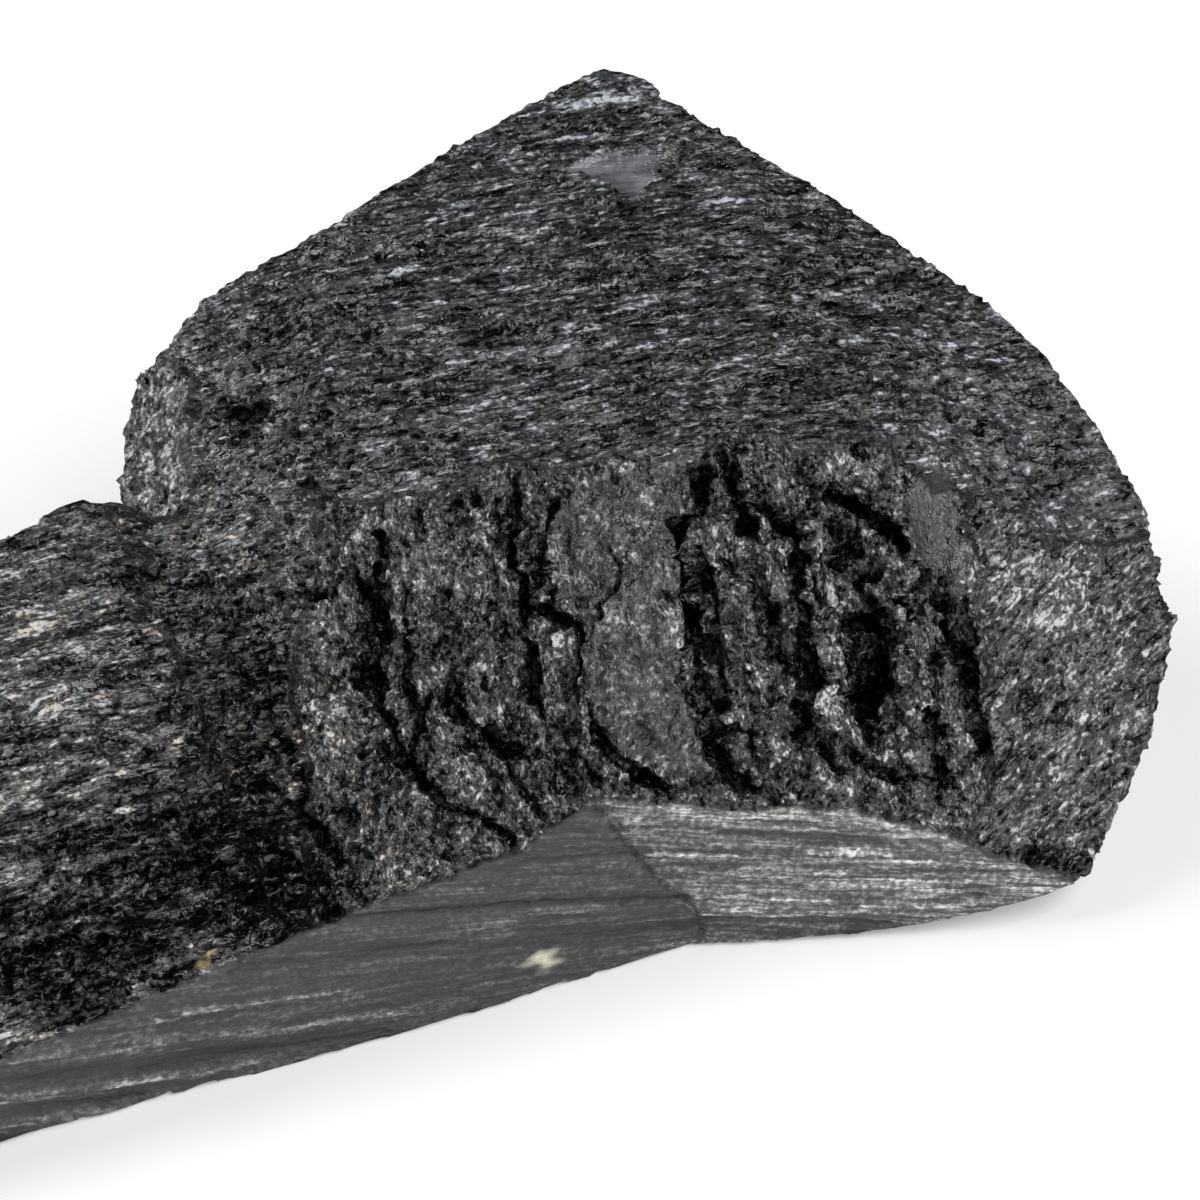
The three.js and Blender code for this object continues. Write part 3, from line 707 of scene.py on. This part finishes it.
def cut_cracks(height, surface, points, aside):
    """Cuts the cracks into the heights, and tells how deep in one each point is, from 0 to 1."""
    ragged = 1 + 0.4 * noise(points / 0.5, seed=24)
    uneven = 0.8 + 0.6 * noise(points / 2.4, seed=25)
    deep = np.zeros(len(points))
    for depth, step, line in CRACKS:
        some = near(surface["u"], surface["v"], line, margin=CRACK_REACH)
        visible = surface["open"][some]
        gap, side = stroke(surface["u"][some] + aside[some], surface["v"][some] + 0.4 * aside[some], line)
        cut = (1 - smooth(gap * ragged[some], 0.2, 1.35)) * visible
        height[some] -= depth * cut * uneven[some]
        height[some] += 0.5 * step * side * np.exp(-gap / 5) * smooth(gap, 0, 1) * visible
        deep[some] = np.maximum(deep[some], smooth(cut, 0.2, 0.85))
    return deep


def raise_splinters(height, surface, aside):
    """Raises the splinters and the chip's rim, and tells how much of one each point is, from 0 to 1."""
    lips = np.zeros(len(height))
    for rise, line in SPLINTERS:
        some = near(surface["u"], surface["v"], line, margin=STROKE_REACH)
        gap, _ = stroke(surface["u"][some] + 0.5 * aside[some], surface["v"][some], line)
        share = (1 - smooth(gap, 0.5, 1.15)) * surface["open"][some]
        height[some] += rise * share
        lips[some] = np.maximum(lips[some], share)
    some = near(surface["u"], surface["v"], CHIP_RIM, margin=STROKE_REACH)
    gap, _ = stroke(surface["u"][some], surface["v"][some], CHIP_RIM)
    rim = (1 - smooth(gap, 0.5, 1.4)) * surface["open"][some]
    height[some] += CHIP_RIM_HEIGHT * rim
    lips[some] = np.maximum(lips[some], 0.6 * rim)
    return lips


def large_relief(surface, points):
    """Heights of the large relief, and how much of a crack and of a splinter each point has."""
    u = surface["u"]
    v = surface["v"]
    aside = wander(points, amount=11, seed=21)
    height = np.zeros(len(points))
    for centre, radii, swell in HOLLOWS:
        height += swell * surface["open"] * smooth(oval(u + aside, v + aside, centre, radii), 0, 0.7)
    lay_all(height, LARGE_LAYERS, surface, flowing(surface["view"]), seed=80)
    deep = cut_cracks(height, surface, points, aside)
    lips = raise_splinters(height, surface, aside)
    dish = 0.1 + 0.5 * smooth(oval(u, v, *CHIP_DISH), 0, 1)
    return height - dish * surface["chip"], deep, lips


def striations(points, spacing, seed):
    """Ridges along the striations, for points given as level and place along, from about -1 to 1."""
    cells = np.stack([points[:, 0] / spacing, points[:, 1] / 22, np.zeros(len(points))], axis=1)
    return noise(cells, seed) + 0.6 * terraces(noise(cells * (2.4, 3, 1), seed + 1), 3)


def fine_relief(surface, points):
    """Foliation, flakes, striations and grain, as heights along the normals."""
    view, _, _ = in_view(points)
    height = np.zeros(len(points))
    lay_all(height, FINE_LAYERS, surface, flowing(view), seed=40)
    stripes = surface["stripes"]
    lay(height, 0.11 * surface["faces"], stripes, striations, 0.55, 151)
    height += BAND_HEIGHT * surface["stops"] * surface["faces"]
    rails = np.stack([view[:, 2], stripes[:, 1]], axis=1)
    lay(height, 0.22 * surface["hidden_prism"], rails, striations, 0.6, 153)
    rough = (1 - 0.75 * surface["faces"]) * (1 - surface["smooth"])
    lay(height, 0.1 * rough, points / 0.5, noise, 155)
    lay(height, 0.07 * rough, points / 0.3, noise, 156)
    low_edge = surface["faces"] * (1 - smooth(points[:, 2], 0.3, 1.4))
    height -= 0.4 * low_edge * smooth(noise(points / 1.7, seed=157), 0, 0.6)
    return height * (1 - surface["under"])


def fibre_places(surface):
    """The points in coordinates drawn out along the fibres of their kind of surface."""
    places = stretch(surface["view"], FIBRES["head"], 4, 1)
    for kind, length in (("arm", 4), ("faces", 4), ("end", 3), ("front", 1.3), ("left_side", 2)):
        drawn = stretch(surface["view"], FIBRES.get(kind, ARM_FIBRES), length, 1)
        places = np.where(surface[kind][:, None] > 0.5, drawn, places)
    return places


def read_points(mesh):
    flat = np.empty(len(mesh.vertices) * 3, np.float32)
    mesh.vertices.foreach_get("co", flat)
    return flat.reshape(-1, 3).astype(float)


def write_points(mesh, points):
    mesh.vertices.foreach_set("co", points.astype(np.float32).ravel())
    mesh.update()


def read_normals(mesh):
    flat = np.empty(len(mesh.vertices) * 3, np.float32)
    mesh.vertex_normals.foreach_get("vector", flat)
    return flat.reshape(-1, 3).astype(float)


def read_edges(mesh):
    flat = np.empty(len(mesh.edges) * 2, np.int32)
    mesh.edges.foreach_get("vertices", flat)
    return flat.reshape(-1, 2)


def relaxed(points, edges, steps):
    """Moves every point halfway to the middle of its neighbours, a few times over."""
    count = np.bincount(edges.ravel(), minlength=len(points))
    for _ in range(steps):
        for axis in range(3):
            line = points[:, axis]
            total = np.bincount(edges[:, 0], line[edges[:, 1]], len(points))
            total += np.bincount(edges[:, 1], line[edges[:, 0]], len(points))
            points[:, axis] = 0.5 * line + 0.5 * total / count
    return points


def applied(piece, kind, **settings):
    """A new mesh of a piece with one modifier on it."""
    modifier = piece.modifiers.new(kind.lower(), kind)
    for name, value in settings.items():
        setattr(modifier, name, value)
    graph = bpy.context.evaluated_depsgraph_get()
    mesh = bpy.data.meshes.new_from_object(piece.evaluated_get(graph))
    piece.modifiers.clear()
    return mesh


def new_piece(name, mesh):
    piece = bpy.data.objects.new(name, mesh)
    bpy.context.scene.collection.objects.link(piece)
    return piece


def dense_stone():
    """A dense mesh of the solid, in millimetres, with its edges worn and its cracks partly filled."""
    draft = new_piece("stone_draft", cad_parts["tourmaline_crystal"].data.copy())
    write_points(draft.data, read_points(draft.data) * 1000)
    mesh = applied(draft, "REMESH", mode="VOXEL", voxel_size=VOXEL)
    bpy.data.objects.remove(draft)
    edges = read_edges(mesh)
    points = relaxed(read_points(mesh), edges, RELAX_STEPS)
    write_points(mesh, points)
    surface = regions(points, read_normals(mesh))
    filled = relaxed(points.copy(), edges, FILL_STEPS)
    share = CRACK_FILL * smooth(surface["v"], *FILL_BELOW) * smooth(surface["u"], *FILL_RIGHT_OF)
    share *= (1 - surface["faces"]) * (1 - surface["under"])
    points += share[:, None] * (filled - points)
    return mesh, points


def store(mesh, name, values):
    """Keeps a number from 0 to 1 for each point."""
    layer = mesh.attributes.new(name, "FLOAT", "POINT")
    layer.data.foreach_set("value", np.clip(values, 0, 1).astype(np.float32))


def store_places(mesh, name, places):
    """Keeps a place for each point."""
    layer = mesh.attributes.new(name, "FLOAT_VECTOR", "POINT")
    layer.data.foreach_set("vector", places.astype(np.float32).ravel())


def store_surface_kinds(mesh, surface, deep, lips):
    """Writes what the material needs to know of each point of the stone."""
    # The tone holds the stone's own tone with painted shade in cracks, hollows and furrows, and painted
    # highlights on splinters, the chip's rim and glinting places
    stops = surface["stops"] + CRACK_SHADE_STOPS * deep + SPLINTER_HIGHLIGHT_STOPS * lips
    neutral = surface["front"] + surface["end"] + surface["arm"] + surface["left_side"]
    soiled = np.maximum(surface["valley"], 0.5 * surface["arm"] * surface["seen"])
    kinds = {
        "tone_and_painted_light": 0.5 + stops / TONE_RANGE,
        "faces": surface["faces"],
        "right_face": surface["right_face"],
        "smooth": surface["smooth"],
        "plate": np.maximum(surface["plate"], lips),
        "chip": surface["chip"],
        "warm": surface["plate"] + lips + 0.7 * neutral,
        "dirt": soiled * (1 - surface["left_side"]),
    }
    jagged = wander(surface["view"], amount=9, seed=91)
    for name, fleck in (("mica", MICA_FLAKE), ("cream", CREAM_FLECK)):
        spot = oval(surface["u"] + jagged, surface["v"] - jagged, *fleck)
        kinds[name] = surface["seen"] * smooth(spot, 0, 0.1)
    for name, values in kinds.items():
        store(mesh, name, values)
    store_places(mesh, "stripes", np.column_stack([surface["stripes"], np.zeros(len(stops))]))
    store_places(mesh, "fibres", fibre_places(surface))


def thinned(mesh):
    """The mesh with fewer triangles, thinned out most where it is flat or doesn't show."""
    dense = new_piece("stone_dense", mesh)
    group = dense.vertex_groups.new(name="hidden")
    facing = read_normals(mesh) @ np.array(CAMERA_BACK)
    # A point with no share in the group would never be taken out, so those that show have a small one
    group.add(np.nonzero(facing < 0.0)[0].tolist(), 1.0, "REPLACE")
    group.add(np.nonzero(facing >= 0.0)[0].tolist(), SEEN_SHARE, "REPLACE")
    thin = applied(
        dense, "DECIMATE", decimate_type="COLLAPSE", use_collapse_triangulate=True,
        ratio=MOST_TRIANGLES / (2 * len(mesh.vertices)),
        vertex_group="hidden", vertex_group_factor=LENGTH_COST,
    )
    bpy.data.objects.remove(dense)
    return thin


def rough_stone():
    """The crystal's mesh with all its relief, in millimetres."""
    mesh, points = dense_stone()
    write_points(mesh, points)
    surface = regions(points, read_normals(mesh))
    surface["stops"] = tones_and_painted_light(surface, points)
    surface["smooth"] = np.maximum(0.75 * surface["facet"], 0.9 * surface["chip"])
    surface["crags"] = surface["open"] * np.clip(0.6 * surface["valley"] - 0.6 * surface["stops"], 0, 1)
    height, deep, lips = large_relief(surface, points)
    points = points + read_normals(mesh) * height[:, None]
    write_points(mesh, points)
    points = points + read_normals(mesh) * fine_relief(surface, points)[:, None]
    points[:, 2] = np.maximum(points[:, 2], 0)
    write_points(mesh, points)
    surface["view"] = in_view(points)[0]
    store_surface_kinds(mesh, surface, deep, lips)
    return thinned(mesh)


class Nodes:
    """A short way to write a material's node tree."""

    def __init__(self, tree):
        self.tree = tree
        tree.nodes.clear()

    def add(self, kind, settings=None, **inputs):
        node = self.tree.nodes.new(kind)
        for name, value in (settings or {}).items():
            setattr(node, name, value)
        for name, value in inputs.items():
            self.put(node, name.replace("_", " "), value)
        return node

    def put(self, node, name, value):
        socket = node.inputs[int(name[1:]) if name[0] == "#" else name]
        if isinstance(value, bpy.types.NodeSocket):
            self.tree.links.new(value, socket)
        else:
            socket.default_value = value

    def attribute(self, name, output="Fac"):
        return self.add("ShaderNodeAttribute", {"attribute_name": name}).outputs[output]

    def math(self, operation, *values):
        node = self.add("ShaderNodeMath", {"operation": operation})
        for index, value in enumerate(values):
            self.put(node, f"#{index}", value)
        return node.outputs[0]

    def vector(self, operation, *values, **inputs):
        node = self.add("ShaderNodeVectorMath", {"operation": operation}, **inputs)
        for index, value in enumerate(values):
            self.put(node, f"#{index}", value)
        return node.outputs[0]

    def noise(self, vector, scale, detail, roughness=0.6):
        node = self.add("ShaderNodeTexNoise", Vector=vector, Scale=scale, Detail=detail)
        self.put(node, "Roughness", roughness)
        return node.outputs["Fac"]

    def noise_colour(self, vector, scale, detail):
        """Three noises around 0, as a vector."""
        node = self.add("ShaderNodeTexNoise", Vector=vector, Scale=scale, Detail=detail)
        return self.vector("SUBTRACT", node.outputs["Color"], (0.5, 0.5, 0.5))

    def ramp(self, factor, low, high, bottom=0.0, top=1.0):
        node = self.add("ShaderNodeMapRange", {"interpolation_type": "SMOOTHSTEP"}, Value=factor)
        for name, value in zip(("From Min", "From Max", "To Min", "To Max"), (low, high, bottom, top)):
            self.put(node, name, value)
        return node.outputs["Result"]

    def mix(self, factor, first, second):
        node = self.add("ShaderNodeMix", {"data_type": "RGBA"})
        for index, value in ((0, factor), (6, first), (7, second)):
            self.put(node, f"#{index}", value)
        return node.outputs[2]


def tilted_facets(n, fibres, rugged):
    """Facets too small for the mesh, each tilted and shaded its own way, with painted shade in the gaps
    between them and painted glints on a few.
    """
    bend = n.noise_colour(fibres, scale=2.2, detail=1)
    bent = n.vector("ADD", fibres, n.vector("SCALE", bend, Scale=FACET_BEND))
    normal = n.add("ShaderNodeNewGeometry").outputs["Normal"]
    stops = 0.0
    for scale, tilt, contrast in FACET_LAYERS:
        cells = n.add("ShaderNodeTexVoronoi", Vector=bent, Scale=scale)
        turned = n.vector("SUBTRACT", cells.outputs["Color"], (0.5, 0.5, 0.5))
        turned = n.vector("SCALE", turned, Scale=n.math("MULTIPLY", rugged, tilt))
        normal = n.vector("ADD", normal, turned)
        shades = n.add("ShaderNodeSeparateColor", Color=cells.outputs["Color"])
        stops = n.math("ADD", stops, n.ramp(shades.outputs[0], 0.0, 1.0, -contrast / 2, contrast / 2))
        # Painted shade darkens the gaps between the facets
        stops = n.math("ADD", stops, n.ramp(cells.outputs["Distance"], 0.45, 0.8, 0.2, -1.4))
    # Painted glints: a few facets made much paler
    stops = n.math("ADD", stops, n.ramp(shades.outputs[2], 0.88, 0.95, 0.0, 1.4))
    return n.vector("NORMALIZE", normal), stops, shades.outputs[1]


def coloured(n, tint, stops):
    """A tint made darker or paler by a number of stops."""
    strength = n.math("MINIMUM", n.math("POWER", 2.0, stops), BRIGHTEST)
    return n.vector("SCALE", tint, Scale=strength)


def rough_shader(n, place, tone_and_painted_light):
    """The broken stone, with its smooth spots, dirt and mica."""
    fibres = n.attribute("fibres", "Vector")
    smooth_spot = n.attribute("smooth")
    chip = n.attribute("chip")
    plate = n.attribute("plate")
    calm = n.math("MAXIMUM", smooth_spot, n.math("MULTIPLY", plate, 0.35))
    rugged = n.math("SUBTRACT", 1.0, calm)
    normal, facet_stops, gloss = tilted_facets(n, fibres, rugged)
    grain = n.noise(fibres, scale=2.8, detail=2)
    crumbs = n.noise(place, scale=CRUMB_SCALE, detail=1)
    change = n.math("ADD", n.ramp(grain, 0.32, 0.68, -2.4, 2.6), n.ramp(crumbs, 0.35, 0.65, -1.4, 1.4))
    change = n.math("ADD", change, facet_stops)
    stops = n.math("ADD", tone_and_painted_light, n.math("MULTIPLY", rugged, change))

    tint = n.mix(n.attribute("warm"), STONE_TINT, PLATE_TINT)
    tint = n.mix(chip, tint, CHIP_TINT_AND_REFLECTION)
    patches = n.ramp(n.noise(place, scale=900, detail=2), 0.45, 0.62)
    soil = n.math("MULTIPLY", n.attribute("dirt"), patches)
    tint = n.mix(n.math("MULTIPLY", soil, 0.7), tint, SOIL_TINT)
    colour = n.mix(n.attribute("mica"), coloured(n, tint, stops), MICA_TINT)

    bump = n.add("ShaderNodeBump", Strength=1.0, Distance=0.0002, Height=grain, Normal=normal)
    bump = n.add("ShaderNodeBump", Strength=0.9, Distance=0.00012, Height=crumbs, Normal=bump.outputs[0])
    roughness = n.ramp(gloss, 0.0, 1.0, 0.14, 0.6)
    roughness = n.math("MULTIPLY", roughness, n.math("SUBTRACT", 1.0, n.math("MULTIPLY", chip, 0.5)))
    shader = n.add("ShaderNodeBsdfPrincipled", Roughness=roughness, IOR=STONE_IOR, Normal=bump.outputs[0])
    n.put(shader, "Base Color", colour)
    n.put(shader, "Specular IOR Level", n.ramp(stops, -5.0, -1.5, 0.04, 0.5))
    return shader.outputs[0]


def striated_shader(n, place, tone_and_painted_light):
    """The two lower faces, with lines, seams and crumbs along their striations, painted shade in the seams
    and a painted sheen that makes the right face paler.
    """
    stripes = n.attribute("stripes", "Vector")
    drawn = n.vector("MULTIPLY", stripes, (1.0, 0.06, 1.0))
    bend = n.noise_colour(stripes, scale=1.6, detail=2)
    drawn = n.vector("ADD", drawn, n.vector("SCALE", bend, Scale=0.25))
    wide_lines = n.noise(drawn, scale=1.3, detail=3)
    lines = n.noise(drawn, scale=4.2, detail=4, roughness=0.75)
    crumbs = n.noise(place, scale=CRUMB_SCALE, detail=3)
    ribs = n.add("ShaderNodeTexVoronoi", {"voronoi_dimensions": "2D"}, Vector=drawn, Scale=3.0)
    rib = n.add("ShaderNodeSeparateColor", Color=ribs.outputs["Color"]).outputs[0]
    # Painted shade darkens the seams between the ribs
    seam = n.ramp(ribs.outputs["Distance"], 0.35, 0.6, 0.0, -2.4)
    stops = n.math("MULTIPLY", seam, n.ramp(wide_lines, 0.45, 0.6))
    for change in (
        tone_and_painted_light,
        n.ramp(lines, 0.4, 0.6, -1.2, 0.9),
        n.ramp(wide_lines, 0.4, 0.6, -0.6, 0.6),
        n.ramp(rib, 0.0, 1.0, -0.6, 0.6),
        n.ramp(crumbs, 0.35, 0.65, -1.0, 1.0),
        # Painted sheen on the right face
        n.math("MULTIPLY", n.attribute("right_face"), RIGHT_FACE_SHEEN_STOPS),
    ):
        stops = n.math("ADD", stops, change)
    colour = n.mix(n.attribute("cream"), coloured(n, FACE_TINT_AND_SHEEN, stops), CREAM_TINT)
    bump = n.add("ShaderNodeBump", Strength=0.6, Distance=0.00012, Height=crumbs)
    bump = n.add("ShaderNodeBump", Strength=0.8, Distance=0.00016, Height=lines, Normal=bump.outputs[0])
    shader = n.add("ShaderNodeBsdfPrincipled", Roughness=0.55, IOR=STONE_IOR, Normal=bump.outputs[0])
    n.put(shader, "Base Color", colour)
    return shader.outputs[0]


def schorl_material():
    material = bpy.data.materials.new("schorl")
    material.use_nodes = True
    n = Nodes(material.node_tree)
    place = n.add("ShaderNodeTexCoord").outputs["Object"]
    # The stored tone holds painted shade and highlights as well as the stone's own tone
    tone_and_painted_light = n.math("MULTIPLY", n.math("SUBTRACT", n.attribute("tone_and_painted_light"), 0.5), TONE_RANGE)
    mixed = n.add("ShaderNodeMixShader")
    n.put(mixed, "#0", n.attribute("faces"))
    n.put(mixed, "#1", rough_shader(n, place, tone_and_painted_light))
    n.put(mixed, "#2", striated_shader(n, place, tone_and_painted_light))
    n.add("ShaderNodeOutputMaterial", Surface=mixed.outputs[0])
    return material


def pale_floor():
    mesh = bpy.data.meshes.new("floor")
    half = 1.5
    corners = [(-half, -half, 0), (half, -half, 0), (half, half, 0), (-half, half, 0)]
    mesh.from_pydata(corners, [], [(0, 1, 2, 3)])
    floor = new_piece("floor", mesh)
    material = bpy.data.materials.new("floor")
    material.use_nodes = True
    n = Nodes(material.node_tree)
    shader = n.add("ShaderNodeBsdfPrincipled", Roughness=1.0)
    n.put(shader, "Base Color", (0.9, 0.9, 0.9, 1))
    n.put(shader, "Emission Color", (1, 1, 1, 1))
    n.put(shader, "Emission Strength", FLOOR_GLOW)
    n.add("ShaderNodeOutputMaterial", Surface=shader.outputs[0])
    mesh.materials.append(material)


def soft_light(name, place, size, power):
    data = bpy.data.lights.new(name, "AREA")
    data.shape = "DISK"
    data.size = size
    data.energy = power
    lamp = bpy.data.objects.new(name, data)
    lamp.location = place
    lamp.rotation_euler = Vector(place).to_track_quat("Z", "Y").to_euler()
    bpy.context.scene.collection.objects.link(lamp)


def studio():
    """A room that is bright near the floor and dim overhead, with two soft lamps."""
    world = bpy.data.worlds.new("studio")
    bpy.context.scene.world = world
    world.use_nodes = True
    n = Nodes(world.node_tree)
    direction = n.add("ShaderNodeTexCoord").outputs["Generated"]
    height = n.add("ShaderNodeSeparateXYZ", Vector=direction).outputs["Z"]
    strength = n.ramp(height, 0.0, 0.8, HORIZON_LIGHT, ZENITH_LIGHT)
    glow = n.add("ShaderNodeBackground", Color=(1, 1, 1, 1), Strength=strength)
    n.add("ShaderNodeOutputWorld", Surface=glow.outputs[0])
    for lamp in LAMPS:
        soft_light(*lamp)


def place_camera():
    data = bpy.data.cameras.new("camera")
    data.sensor_width = 36
    data.lens = data.sensor_width * FOCAL / PHOTO_SIZE
    data.clip_start = 0.01
    camera = bpy.data.objects.new("camera", data)
    camera.location = CAMERA_TARGET + CAMERA_DISTANCE * CAMERA_BACK
    camera.rotation_euler = CAMERA_BACK.to_track_quat("Z", "Y").to_euler()
    bpy.context.scene.collection.objects.link(camera)
    bpy.context.scene.camera = camera


place_camera()
pale_floor()
studio()
bpy.context.scene.view_settings.view_transform = "Standard"

stone_mesh = rough_stone()
write_points(stone_mesh, read_points(stone_mesh) / 1000)
stone_mesh.polygons.foreach_set("use_smooth", np.ones(len(stone_mesh.polygons), bool))
stone_mesh.materials.clear()
stone_mesh.materials.append(schorl_material())
stone = new_piece("black_tourmaline", stone_mesh)
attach(stone, "root")
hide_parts("tourmaline_crystal")
